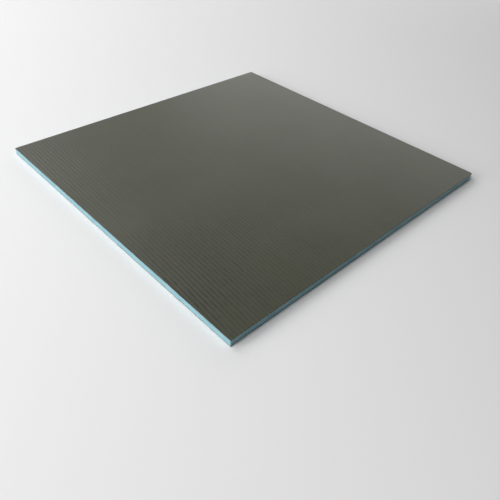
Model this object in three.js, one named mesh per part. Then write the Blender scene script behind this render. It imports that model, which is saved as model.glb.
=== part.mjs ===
// Foam tile backer board: a sheet of extruded foam with a mesh-reinforced mortar skin on both faces.
// The origin is the middle of the underside. X runs along the ribs of the mesh, Y across them, Z up.

import * as THREE from "three";

// Driving dimensions, in millimetres.
const boardLength = 600; // along the ribs of the mesh
const boardWidth = 600; // across the ribs
const coreThickness = 10; // the foam
const meshThickness = 0.25; // one yarn, pressed flat on the foam
const coatThickness = 0.75; // the mortar over the mesh, up to the tops of its ribs

// Heights of the faces where one layer meets the next, from the underside up.
const bottomCoatTop = coatThickness;
const coreBottom = bottomCoatTop + meshThickness;
const coreTop = coreBottom + coreThickness;
const topCoatBottom = coreTop + meshThickness;
const boardTop = topCoatBottom + coatThickness;

// What the layers are made of.
const foam = new THREE.MeshStandardMaterial({ color: 0x8cc8de, roughness: 0.75, metalness: 0 });
const glassFibre = new THREE.MeshStandardMaterial({ color: 0xd8d8cc, roughness: 0.55, metalness: 0 });
const mortar = new THREE.MeshStandardMaterial({ color: 0x5c5b51, roughness: 0.6, metalness: 0 });

// One layer of the board, from one height to another. The saw trims all of them to one outline.
// Its corners are set to the heights themselves, so that two layers meet on exactly the same plane.
function layer(name, bottom, top, material) {
  const geometry = new THREE.BoxGeometry(boardLength, boardWidth, 1);
  const corners = geometry.getAttribute("position");
  for (let i = 0; i < corners.count; i += 1) {
    corners.setZ(i, corners.getZ(i) < 0 ? bottom : top);
  }
  const mesh = new THREE.Mesh(geometry, material);
  mesh.name = name;
  return mesh;
}

const board = new THREE.Group();
board.name = "foam_tile_backer_board";

board.add(layer("bottom_coating", 0, bottomCoatTop, mortar));
board.add(layer("bottom_mesh", bottomCoatTop, coreBottom, glassFibre));
board.add(layer("foam_core", coreBottom, coreTop, foam));
board.add(layer("top_mesh", coreTop, topCoatBottom, glassFibre));
board.add(layer("top_coating", topCoatBottom, boardTop, mortar));

export default board;
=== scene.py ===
import math

import bmesh
import bpy
from mathutils import Matrix, Vector, noise


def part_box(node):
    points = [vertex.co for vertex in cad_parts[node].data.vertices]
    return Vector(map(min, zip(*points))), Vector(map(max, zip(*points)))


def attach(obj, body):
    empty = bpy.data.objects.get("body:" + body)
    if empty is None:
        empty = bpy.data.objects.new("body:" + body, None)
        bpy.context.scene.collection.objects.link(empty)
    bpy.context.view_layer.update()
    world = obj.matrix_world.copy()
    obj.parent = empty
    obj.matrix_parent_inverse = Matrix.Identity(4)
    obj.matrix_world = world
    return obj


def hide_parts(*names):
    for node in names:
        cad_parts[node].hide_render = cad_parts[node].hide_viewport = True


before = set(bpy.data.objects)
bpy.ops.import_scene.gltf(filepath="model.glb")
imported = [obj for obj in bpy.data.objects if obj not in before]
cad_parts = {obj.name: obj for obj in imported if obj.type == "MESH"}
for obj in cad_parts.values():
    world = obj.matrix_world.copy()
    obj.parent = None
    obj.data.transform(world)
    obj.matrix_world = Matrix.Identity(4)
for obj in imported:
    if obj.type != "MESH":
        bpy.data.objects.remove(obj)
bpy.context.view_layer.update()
mm = 0.001

# Camera. It stands before the board's front corner, between the +X and -Y sides, and looks down on it.
# The board lies flat, so the view takes in the whole ribbed face and two of its sawn sides.
camera_place = Vector((0.5952, -0.5747, 0.5066))
camera_heading = math.radians(44.62)
camera_look_down = math.radians(40.68)
camera_roll = math.radians(3.36)

camera_data = bpy.data.cameras.new("camera")
camera_data.sensor_width = 36.0
camera_data.lens = 37.0
camera = bpy.data.objects.new("camera", camera_data)
camera.matrix_world = (
    Matrix.Translation(camera_place)
    @ Matrix.Rotation(camera_heading, 4, "Z")
    @ Matrix.Rotation(math.pi / 2 - camera_look_down, 4, "X")
    @ Matrix.Rotation(camera_roll, 4, "Z")
)
bpy.context.collection.objects.link(camera)
bpy.context.scene.camera = camera
bpy.context.scene.view_settings.view_transform = "Standard"

# Foam core. One sheet of light-blue extruded polystyrene, sawn square from a wider one.
# Its sides show the saw: a faint wander along the cut, fine upright marks, and torn cells here and there.
# Its corners are worn a little, and one of them has had a knock.
core_low, core_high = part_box("foam_core")
board_length = core_high[0] - core_low[0]
board_width = core_high[1] - core_low[1]
half_length = board_length / 2
half_width = board_width / 2
core_steps_along = 600
core_steps_up = 5

saw_allowance = 0.45 * mm
saw_wander = 0.10 * mm
saw_wander_length = 22 * mm
saw_mark = 0.05 * mm
saw_mark_width = 2.4 * mm
saw_mark_height = 17 * mm
torn_cell = 0.60 * mm
torn_cell_size = 3.2 * mm
torn_cell_rarity = 0.55
corner_wear = 0.8 * mm
knocked_corner = 6.0 * mm
on_the_side = 0.01 * mm

foam_blue = (0.20, 0.38, 0.44)
foam_pale = (0.26, 0.44, 0.48)
foam_deep = (0.13, 0.325, 0.395)
foam_mottle = 25 * mm
saw_line_width = 1.4 * mm
saw_line_height = 25 * mm
saw_line_depth = 0.25 * mm
saw_line_shade = 0.35
foam_cell = 0.38 * mm
foam_cell_depth = 0.05 * mm


def worn_place(vert, depth):
    """Where a vertex lies once its corner is worn round and, if it is on a side, the side is brought in."""
    knocked = vert.co.x > 0 and vert.co.y > 0
    radius = knocked_corner if knocked else corner_wear
    limit = Vector((half_length - radius, half_width - radius))
    inner = Vector((max(-limit.x, min(limit.x, vert.co.x)), max(-limit.y, min(limit.y, vert.co.y))))
    out = vert.co.xy - inner
    if out.length < radius - on_the_side:
        return vert.co.copy()
    return (inner + out.normalized() * (radius - depth)).to_3d() + Vector((0, 0, vert.co.z))


def saw_cut(place):
    """How far in from the nominal side the saw has left the foam at a place."""
    wander = saw_wander * noise.noise(place / saw_wander_length)
    upright = Vector((place.x / saw_mark_width, place.y / saw_mark_width, place.z / saw_mark_height))
    torn = torn_cell * max(0.0, noise.noise(place / torn_cell_size) - torn_cell_rarity)
    return saw_allowance + wander + saw_mark * noise.noise(upright) + torn


def extrude_rim(shape, rim):
    """Extrudes a closed line of edges. Returns the new line and its vertices, which lie on the old ones."""
    grown = bmesh.ops.extrude_edge_only(shape, edges=rim)["geom"]
    verts = [part for part in grown if isinstance(part, bmesh.types.BMVert)]
    new_ends = set(verts)
    edges = [part for part in grown if isinstance(part, bmesh.types.BMEdge)]
    return [edge for edge in edges if new_ends.issuperset(edge.verts)], verts


def as_object(name, shape, finish, smooth_below):
    """Turns a finished bmesh into an object, smooth but for the edges sharper than an angle in degrees."""
    mesh = bpy.data.meshes.new(name)
    shape.to_mesh(mesh)
    shape.free()
    mesh.shade_smooth()
    mesh.set_sharp_from_angle(angle=math.radians(smooth_below))
    mesh.materials.append(finish)
    made = bpy.data.objects.new(name, mesh)
    bpy.context.collection.objects.link(made)
    return made


def new_finish(name, roughness):
    """A material with its shader's roughness set. Returns it with its node tree and the shader."""
    finish = bpy.data.materials.new(name)
    finish.use_nodes = True
    shader = finish.node_tree.nodes["Principled BSDF"]
    shader.inputs["Roughness"].default_value = roughness
    return finish, finish.node_tree, shader


def where(tree, patch=(1, 1, 1)):
    """The object's own coordinates, counted in patches of so many metres along X, Y and Z."""
    place = tree.nodes.new("ShaderNodeTexCoord")
    mapping = tree.nodes.new("ShaderNodeMapping")
    mapping.inputs["Scale"].default_value = [1 / length for length in patch]
    tree.links.new(place.outputs["Object"], mapping.inputs["Vector"])
    return mapping.outputs["Vector"]


def cloud(tree, patch, detail=2.0, roughness=0.5):
    """A soft noise from 0 to 1, in patches of about so many metres along X, Y and Z."""
    texture = tree.nodes.new("ShaderNodeTexNoise")
    texture.inputs["Scale"].default_value = 1.0
    texture.inputs["Detail"].default_value = detail
    texture.inputs["Roughness"].default_value = roughness
    tree.links.new(where(tree, patch), texture.inputs["Vector"])
    return texture.outputs["Fac"]


def ranged(tree, value, low, high, to_low=0.0, to_high=1.0):
    """A value spread from one range to another and held there."""
    node = tree.nodes.new("ShaderNodeMapRange")
    node.inputs["From Min"].default_value = low
    node.inputs["From Max"].default_value = high
    node.inputs["To Min"].default_value = to_low
    node.inputs["To Max"].default_value = to_high
    tree.links.new(value, node.inputs["Value"])
    return node.outputs["Result"]


def tint(tree, colour, by, value, strength=1.0):
    """A colour, or what a socket gives, mixed with another as far as a value from 0 to 1 says."""
    part = tree.nodes.new("ShaderNodeMath")
    part.operation = "MULTIPLY"
    part.inputs[1].default_value = strength
    tree.links.new(value, part.inputs[0])
    node = tree.nodes.new("ShaderNodeMix")
    node.data_type = "RGBA"
    tree.links.new(part.outputs[0], node.inputs["Factor"])
    for socket, given in (("A", colour), ("B", by)):
        target = next(s for s in node.inputs if s.name == socket and s.type == "RGBA")
        if isinstance(given, tuple):
            target.default_value = (*given, 1.0)
        else:
            tree.links.new(given, target)
    return next(s for s in node.outputs if s.type == "RGBA")


def bump(tree, height, depth, under=None):
    """A bump that stands depth metres high where the height is 1, over another bump if one is given."""
    node = tree.nodes.new("ShaderNodeBump")
    node.inputs["Distance"].default_value = depth
    tree.links.new(height, node.inputs["Height"])
    if under:
        tree.links.new(under, node.inputs["Normal"])
    return node.outputs["Normal"]


foam_finish, foam_tree, foam_shader = new_finish("cut_foam", roughness=0.62)
mottle = ranged(foam_tree, cloud(foam_tree, (foam_mottle, foam_mottle, foam_mottle)), low=0.45, high=0.75)
foam_colour = tint(foam_tree, foam_blue, foam_pale, mottle)
saw_lines = cloud(foam_tree, (saw_line_width, saw_line_width, saw_line_height), detail=3.0, roughness=0.6)
saw_shade = ranged(foam_tree, saw_lines, low=0.5, high=0.8)
foam_colour = tint(foam_tree, foam_colour, foam_deep, saw_shade, strength=saw_line_shade)
foam_tree.links.new(foam_colour, foam_shader.inputs["Base Color"])

cells = foam_tree.nodes.new("ShaderNodeTexVoronoi")
cells.inputs["Scale"].default_value = 1.0
foam_tree.links.new(where(foam_tree, (foam_cell, foam_cell, foam_cell)), cells.inputs["Vector"])
foam_bump = bump(foam_tree, cells.outputs["Distance"], foam_cell_depth)
foam_bump = bump(foam_tree, saw_lines, saw_line_depth, under=foam_bump)
foam_tree.links.new(foam_bump, foam_shader.inputs["Normal"])

core = bmesh.new()
bmesh.ops.create_grid(core, x_segments=1, y_segments=1, size=0.5)
bmesh.ops.scale(core, vec=(board_length, board_width, 1), verts=core.verts)
bmesh.ops.translate(core, vec=(0, 0, core_low[2]), verts=core.verts)
bmesh.ops.subdivide_edges(core, edges=core.edges, cuts=core_steps_along - 1)
bmesh.ops.delete(core, geom=core.faces[:], context="FACES_ONLY")
core_rim = core.edges[:]
bmesh.ops.contextual_create(core, geom=core_rim)
for step in range(core_steps_up):
    core_rim, raised = extrude_rim(core, core_rim)
    bmesh.ops.translate(core, vec=(0, 0, (core_high[2] - core_low[2]) / core_steps_up), verts=raised)
bmesh.ops.contextual_create(core, geom=core_rim)
for vert in core.verts:
    vert.co = worn_place(vert, saw_cut(vert.co))
bmesh.ops.recalc_face_normals(core, faces=core.faces)
foam_core = as_object("sawn_foam_core", core, foam_finish, smooth_below=40)
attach(foam_core, "root")
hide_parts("foam_core")

# Glass-fibre mesh, one under each skin. Flat yarns cross at right angles, stuck to the foam by the mortar.
# It is laid a few degrees askew, and drifts more towards one end.
# The saw leaves the ends of the yarns along X standing out a hair, and cuts the others flush.
yarn_count = 94
yarn_pitch = board_width / yarn_count
yarn_width = 1.15 * mm
yarn_thickness = 0.30 * mm
yarn_sides = 6
yarn_steps = 8
yarns_to_spare = 6
warp_height = 1.1 * yarn_thickness
weft_height = 0.4 * yarn_thickness
warp_end_margin = 0.12 * mm
weft_end_margin = 0.42 * mm
knocked_corner_cuts = (22.5, 45, 67.5)

mesh_skew = 0.038
mesh_end_drift = 7.8 * mm
mesh_end_power = 5
mesh_wander = 0.55 * mm
wander_along = 110 * mm
wander_across = 250 * mm

yarn_white = (0.62, 0.60, 0.52)
yarn_grey = (0.36, 0.35, 0.30)
strand = 0.2 * mm
strand_depth = 0.06 * mm


def swell(x, y, along, across, pattern):
    """A smooth unevenness from -1 to 1, in swells about so long along X and across, of a given pattern."""
    return noise.noise(Vector((x / along, y / across, pattern)))


def mesh_drift(x, y, side):
    """How far across the board the mesh has drifted at a point, from yarns straight along X."""
    towards_end = ((x + half_length) / board_length) ** mesh_end_power
    ease = mesh_wander * swell(x, y, wander_along, wander_across, pattern=5 * side)
    return mesh_skew * x + mesh_end_drift * towards_end + ease


def lay_yarns(count, length, height):
    """A bmesh of count yarns side by side along X, a pitch apart and centred, at one height."""
    shape = bmesh.new()
    bmesh.ops.create_cone(
        shape, segments=yarn_sides, radius1=0.5, radius2=0.5, depth=1, cap_ends=True,
        matrix=Matrix.Translation((0, -(count - 1) / 2 * yarn_pitch, height))
        @ Matrix.Diagonal((length, yarn_width, yarn_thickness, 1))
        @ Matrix.Rotation(math.pi / 2, 4, "Y"),
    )
    sides = [edge for edge in shape.edges if edge.calc_length() > length / 2]
    bmesh.ops.subdivide_edges(shape, edges=sides, cuts=yarn_steps - 1)
    yarn = shape.verts[:] + shape.edges[:] + shape.faces[:]
    for number in range(1, count):
        copy = bmesh.ops.duplicate(shape, geom=yarn)["geom"]
        moved = [part for part in copy if isinstance(part, bmesh.types.BMVert)]
        bmesh.ops.translate(shape, vec=(0, number * yarn_pitch, 0), verts=moved)
    return shape


def put_together(shape, other):
    """Adds one bmesh to another and frees the one added."""
    passed = bpy.data.meshes.new("passed")
    other.to_mesh(passed)
    other.free()
    shape.from_mesh(passed)
    bpy.data.meshes.remove(passed)


def saw_planes():
    """A point and an outward normal for each cut: the four sides, and those across the knocked corner."""
    yield Vector((half_length - warp_end_margin, 0, 0)), Vector((1, 0, 0))
    yield Vector((warp_end_margin - half_length, 0, 0)), Vector((-1, 0, 0))
    yield Vector((0, half_width - weft_end_margin, 0)), Vector((0, 1, 0))
    yield Vector((0, weft_end_margin - half_width, 0)), Vector((0, -1, 0))
    centre = Vector((half_length - knocked_corner, half_width - knocked_corner, 0))
    for degrees in knocked_corner_cuts:
        out = Vector((math.cos(math.radians(degrees)), math.sin(math.radians(degrees)), 0))
        yield centre + out * (knocked_corner - weft_end_margin), out


def trim_to_board(shape):
    """Cuts off what stands past the board's sides and closes the cut ends."""
    for place, out in saw_planes():
        everything = shape.verts[:] + shape.edges[:] + shape.faces[:]
        bmesh.ops.bisect_plane(shape, geom=everything, plane_co=place, plane_no=out, clear_outer=True)
        bmesh.ops.holes_fill(shape, edges=[edge for edge in shape.edges if edge.is_boundary])


def glass_mesh(name, node, foam_z, side):
    """Both sets of yarns of a mesh. side is 1 over the foam and -1 under it. Those along X lie outermost."""
    weft = lay_yarns(yarn_count, board_width, foam_z + side * weft_height)
    bmesh.ops.rotate(weft, matrix=Matrix.Rotation(math.pi / 2, 3, "Z"), verts=weft.verts)
    for vert in weft.verts:
        bend = swell(vert.co.x, vert.co.y, wander_across, wander_along, pattern=9 * side)
        vert.co.x += mesh_wander * bend
    shape = lay_yarns(yarn_count + 2 * yarns_to_spare, board_length, foam_z + side * warp_height)
    for vert in shape.verts:
        vert.co.y -= mesh_drift(vert.co.x, vert.co.y, side)
    put_together(shape, weft)
    trim_to_board(shape)
    bmesh.ops.recalc_face_normals(shape, faces=shape.faces)
    made = as_object(name, shape, yarn_finish, smooth_below=50)
    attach(made, "root")
    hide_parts(node)


yarn_finish, yarn_tree, yarn_shader = new_finish("glass_yarn", roughness=0.5)
strands = cloud(yarn_tree, (strand, strand, strand), detail=1.0)
yarn_colour = tint(yarn_tree, yarn_white, yarn_grey, ranged(yarn_tree, strands, low=0.4, high=0.7))
yarn_tree.links.new(yarn_colour, yarn_shader.inputs["Base Color"])
yarn_tree.links.new(bump(yarn_tree, strands, strand_depth), yarn_shader.inputs["Normal"])

glass_mesh("upper_glass_mesh", "top_mesh", core_high[2], 1)
glass_mesh("lower_glass_mesh", "bottom_mesh", core_low[2], -1)

# Mortar skins. Dark grey-brown polymer mortar is spread over each mesh and rolled smooth.
# It sinks a little between the yarns as it dries, so the mesh shows as even ribs where it lies thin.
# Its sawn edge is ragged and has a few chips. Its colour is painted darker in the hollows and lighter over
# the cross yarns: partly the mortar's own tone, partly painted shade and painted highlight.
rows_to_a_rib = 8
mortar_rows = yarn_count * rows_to_a_rib
mortar_columns = 112
corner_columns = 5
skin_allowance = 0.40 * mm
ragged_edge = 0.14 * mm
ragged_length = 1.4 * mm
edge_chip = 2.2 * mm
chip_length = 7 * mm
chip_rarity = 0.5
arris_wear = 0.10 * mm

rib_depth = 0.24 * mm
rib_sharpness = 1.6
least_shown = 0.09
middle_shown = 0.25
right_shown = 0.85
left_shown = 0.75
thickest_at = 0.1
thinning_to_front = 2.5
thick_patch = 0.4
thick_patch_along = 90 * mm
thick_patch_across = 70 * mm
thick_spot = 0.3
thick_spot_along = 11 * mm
thick_spot_across = 6.7 * mm

mortar_dark = (0.046, 0.049, 0.028)
mortar_light = (0.071, 0.073, 0.050)
mortar_olive = (0.058, 0.058, 0.026)
# Darker mortar for the hollows between the yarns: partly its own tone there, partly painted shade of the
# hollows.
hollow_mortar_and_painted_shade = (0.012, 0.013, 0.008)
mortar_dust = (0.30, 0.29, 0.26)
batch_patch = 140 * mm
batch_shade = 0.55
olive_patch = 42 * mm
olive_shade = 0.45
roller_streak = (200 * mm, 6.2 * mm, 200 * mm)
roller_streak_shade = 0.35
roller_mark = (6.2 * mm, 2.4 * mm, 6.2 * mm)
roller_mark_depth = 0.12 * mm
painted_shade_break_patch = (14 * mm, 5 * mm, 14 * mm)
radians_to_a_wave_unit = 20  # fixed inside Blender's wave texture
# How much lighter the mortar is over the cross yarns: partly rubbed crests, partly painted highlight on the
# ridges.
cross_rib_rub_and_highlight = 0.15
cross_rib_depth = 0.07 * mm
sand_grain = 0.67 * mm
sand_grain_shade = 0.3
sand_grain_depth = 0.10 * mm
pale_speck = 2.2 * mm
pale_speck_shade = 0.8


def mesh_shows(x, y, side):
    """How much the mesh shows at a point: nearly 1 where the mortar lies thin, a little where it is thick."""
    towards_front = ((half_width - y) / board_width) ** thinning_to_front
    along = x / half_length - thickest_at
    towards_end = right_shown * math.sin(math.pi * along) if along > 0 else -left_shown * along
    patch = 0.5 + 0.5 * swell(x, y, thick_patch_along, thick_patch_across, pattern=2 * side)
    spot = 0.5 + 0.5 * swell(x, y, thick_spot_along, thick_spot_across, pattern=4 * side)
    shown = least_shown + towards_front * (middle_shown + towards_end)
    return shown * (1 - thick_patch * patch) * (1 - thick_spot * spot)


def hollow_at(x, y, side):
    """How far the face lies below its ribs' tops, from 0 over a yarn to what shows between two of them."""
    phase = (y + mesh_drift(x, y, side)) / yarn_pitch
    between = 0.5 + 0.5 * math.cos(2 * math.pi * phase)
    return between ** rib_sharpness * mesh_shows(x, y, side)


def skin_edge(x, y, level):
    """How far in the mortar's edge lies at a point of a side. level tells one edge from another."""
    ragged = ragged_edge * swell(x, y, ragged_length, ragged_length, pattern=3 * level)
    chip = edge_chip * max(0.0, swell(x, y, chip_length, chip_length, pattern=6 * level) - chip_rarity)
    return skin_allowance + ragged + chip


def carried(tree, name):
    """The value that the mesh's vertices carry under a name."""
    node = tree.nodes.new("ShaderNodeAttribute")
    node.attribute_name = name
    return node.outputs["Fac"]


def product(tree, first, second):
    """One value times another."""
    node = tree.nodes.new("ShaderNodeMath")
    node.operation = "MULTIPLY"
    tree.links.new(first, node.inputs[0])
    tree.links.new(second, node.inputs[1])
    return node.outputs[0]


def cross_ribs(tree):
    """Ridges a pitch apart along X, 0 between two cross yarns and 1 over one, that wander a little."""
    wave = tree.nodes.new("ShaderNodeTexWave")
    wave.bands_direction = "X"
    wave.inputs["Scale"].default_value = 2 * math.pi / (radians_to_a_wave_unit * yarn_pitch)
    wave.inputs["Distortion"].default_value = 1.6
    wave.inputs["Detail"].default_value = 1.0
    wave.inputs["Detail Scale"].default_value = 0.8
    tree.links.new(where(tree), wave.inputs["Vector"])
    return ranged(tree, wave.outputs["Fac"], low=0.35, high=1.0)


mortar_finish, mortar_tree, mortar_shader = new_finish("rolled_mortar", roughness=0.45)
batches = cloud(mortar_tree, (batch_patch, batch_patch, batch_patch), detail=3.0)
batches = ranged(mortar_tree, batches, low=0.3, high=0.7)
mortar_colour = tint(mortar_tree, mortar_dark, mortar_light, batches, strength=batch_shade)
olive = cloud(mortar_tree, (olive_patch, olive_patch, olive_patch))
olive = ranged(mortar_tree, olive, low=0.45, high=0.70)
mortar_colour = tint(mortar_tree, mortar_colour, mortar_olive, olive, strength=olive_shade)
streaks = ranged(mortar_tree, cloud(mortar_tree, roller_streak, detail=3.0), low=0.35, high=0.75)
mortar_colour = tint(mortar_tree, mortar_colour, mortar_light, streaks, strength=roller_streak_shade)

# The hollows between the yarns are painted darker, most where the face sinks deepest and the mesh shows most,
# broken up in patches: partly the mortar's own darker tone, partly painted shade of the hollows.
painted_shade_breaks = cloud(mortar_tree, painted_shade_break_patch, detail=3.0, roughness=0.6)
painted_shade_breaks = ranged(mortar_tree, painted_shade_breaks, low=0.32, high=0.66, to_low=0.45, to_high=1.25)
hollow_tone_and_painted_shade = product(mortar_tree, carried(mortar_tree, "hollow"), painted_shade_breaks)
mortar_colour = tint(mortar_tree, mortar_colour, hollow_mortar_and_painted_shade, hollow_tone_and_painted_shade)
# Lighter mortar over the cross yarns where the mesh shows: partly rubbed crests, partly painted highlight on
# the ridges.
knots = product(mortar_tree, cross_ribs(mortar_tree), carried(mortar_tree, "shown"))
mortar_colour = tint(mortar_tree, mortar_colour, mortar_light, knots, strength=cross_rib_rub_and_highlight)

sand = cloud(mortar_tree, (sand_grain, sand_grain, sand_grain), detail=3.0, roughness=0.7)
grains = ranged(mortar_tree, sand, low=0.58, high=0.80)
mortar_colour = tint(mortar_tree, mortar_colour, mortar_dust, grains, strength=sand_grain_shade)
specks = cloud(mortar_tree, (pale_speck, pale_speck, pale_speck), detail=1.0)
specks = ranged(mortar_tree, specks, low=0.80, high=0.84)
mortar_colour = tint(mortar_tree, mortar_colour, mortar_dust, specks, strength=pale_speck_shade)
mortar_tree.links.new(mortar_colour, mortar_shader.inputs["Base Color"])

mortar_bump = bump(mortar_tree, sand, sand_grain_depth)
mortar_bump = bump(mortar_tree, cloud(mortar_tree, roller_mark), roller_mark_depth, under=mortar_bump)
mortar_bump = bump(mortar_tree, knots, cross_rib_depth, under=mortar_bump)
mortar_tree.links.new(mortar_bump, mortar_shader.inputs["Normal"])


def lay_mortar(name, node, outer_z, foam_z, side):
    """One skin, from the foam to the tops of its ribs. side is 1 over the foam and -1 under it."""
    skin = bmesh.new()
    bmesh.ops.create_grid(skin, x_segments=mortar_columns, y_segments=mortar_rows, size=0.5)
    bmesh.ops.scale(skin, vec=(board_length, board_width, 1), verts=skin.verts)
    for column in range(1, corner_columns):
        everything = skin.verts[:] + skin.edges[:] + skin.faces[:]
        place = Vector((half_length - knocked_corner * column / corner_columns, 0, 0))
        bmesh.ops.bisect_plane(skin, geom=everything, plane_co=place, plane_no=(1, 0, 0))
    hollow = skin.verts.layers.float.new("hollow")
    shown = skin.verts.layers.float.new("shown")
    for vert in skin.verts:
        vert[hollow] = hollow_at(vert.co.x, vert.co.y, side)
        vert[shown] = mesh_shows(vert.co.x, vert.co.y, side)
        wear = arris_wear if vert.is_boundary else 0
        vert.co.z = outer_z - side * (rib_depth * vert[hollow] + wear)
    rim, lowered = extrude_rim(skin, [edge for edge in skin.edges if edge.is_boundary])
    for vert in lowered:
        vert.co.z = foam_z
    bmesh.ops.contextual_create(skin, geom=rim)
    for vert in skin.verts:
        vert.co = worn_place(vert, skin_edge(vert.co.x, vert.co.y, side + vert.co.z))
    bmesh.ops.recalc_face_normals(skin, faces=skin.faces)
    made = as_object(name, skin, mortar_finish, smooth_below=35)
    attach(made, "root")
    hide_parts(node)


lay_mortar("upper_mortar_skin", "top_coating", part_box("top_coating")[1][2], core_high[2], 1)
lay_mortar("lower_mortar_skin", "bottom_coating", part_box("bottom_coating")[0][2], core_low[2], -1)

# Studio. A plain pale floor that fades into the backdrop, and soft lights round the board.
# The low one at the left brings out the ribs, and those beyond the far side give the mortar its sheen.
floor_reach = 5.0
floor_pale = (0.80, 0.80, 0.80, 1)
white = (1, 1, 1, 1)
haze_from = 1.5
haze_to = 4.0
backdrop_brightness = 0.80
air_brightness = 0.03

floor_finish, floor_tree, floor_shader = new_finish("pale_floor", roughness=0.9)
floor_shader.inputs["Base Color"].default_value = floor_pale
floor_shader.inputs["Emission Color"].default_value = white
far_off = floor_tree.nodes.new("ShaderNodeVectorMath")
far_off.operation = "LENGTH"
floor_tree.links.new(where(floor_tree), far_off.inputs[0])
haze = ranged(floor_tree, far_off.outputs["Value"], haze_from, haze_to, to_high=backdrop_brightness)
floor_tree.links.new(haze, floor_shader.inputs["Emission Strength"])

floor_shape = bmesh.new()
bmesh.ops.create_grid(floor_shape, x_segments=1, y_segments=1, size=floor_reach)
floor = as_object("floor", floor_shape, floor_finish, smooth_below=40)


def soft_light(name, heading, height, distance, width, depth, watts):
    """An oblong soft light that faces the board, from so many degrees round from +X and so many up."""
    data = bpy.data.lights.new(name, "AREA")
    data.shape = "RECTANGLE"
    data.size = width
    data.size_y = depth
    data.energy = watts
    light = bpy.data.objects.new(name, data)
    light.matrix_world = (
        Matrix.Rotation(math.radians(heading + 90), 4, "Z")
        @ Matrix.Rotation(math.radians(90 - height), 4, "X")
        @ Matrix.Translation((0, 0, distance))
    )
    bpy.context.collection.objects.link(light)


soft_light("left_front_light", heading=256, height=16, distance=3.0, width=1.7, depth=1.5, watts=74)
soft_light("left_light", heading=195, height=42, distance=3.0, width=1.9, depth=1.9, watts=38)
soft_light("far_light", heading=117, height=16, distance=3.1, width=3.3, depth=1.1, watts=28)
soft_light("far_left_light", heading=166, height=27, distance=3.1, width=2.2, depth=1.2, watts=9)
soft_light("right_front_light", heading=274, height=60, distance=3.0, width=1.9, depth=1.9, watts=38)

world = bpy.data.worlds.new("studio_air")
world.use_nodes = True
backdrop = world.node_tree.nodes["Background"]
backdrop.inputs["Color"].default_value = white
seen = world.node_tree.nodes.new("ShaderNodeLightPath").outputs["Is Camera Ray"]
brightness = ranged(world.node_tree, seen, 0, 1, to_low=air_brightness, to_high=backdrop_brightness)
world.node_tree.links.new(brightness, backdrop.inputs["Strength"])
bpy.context.scene.world = world
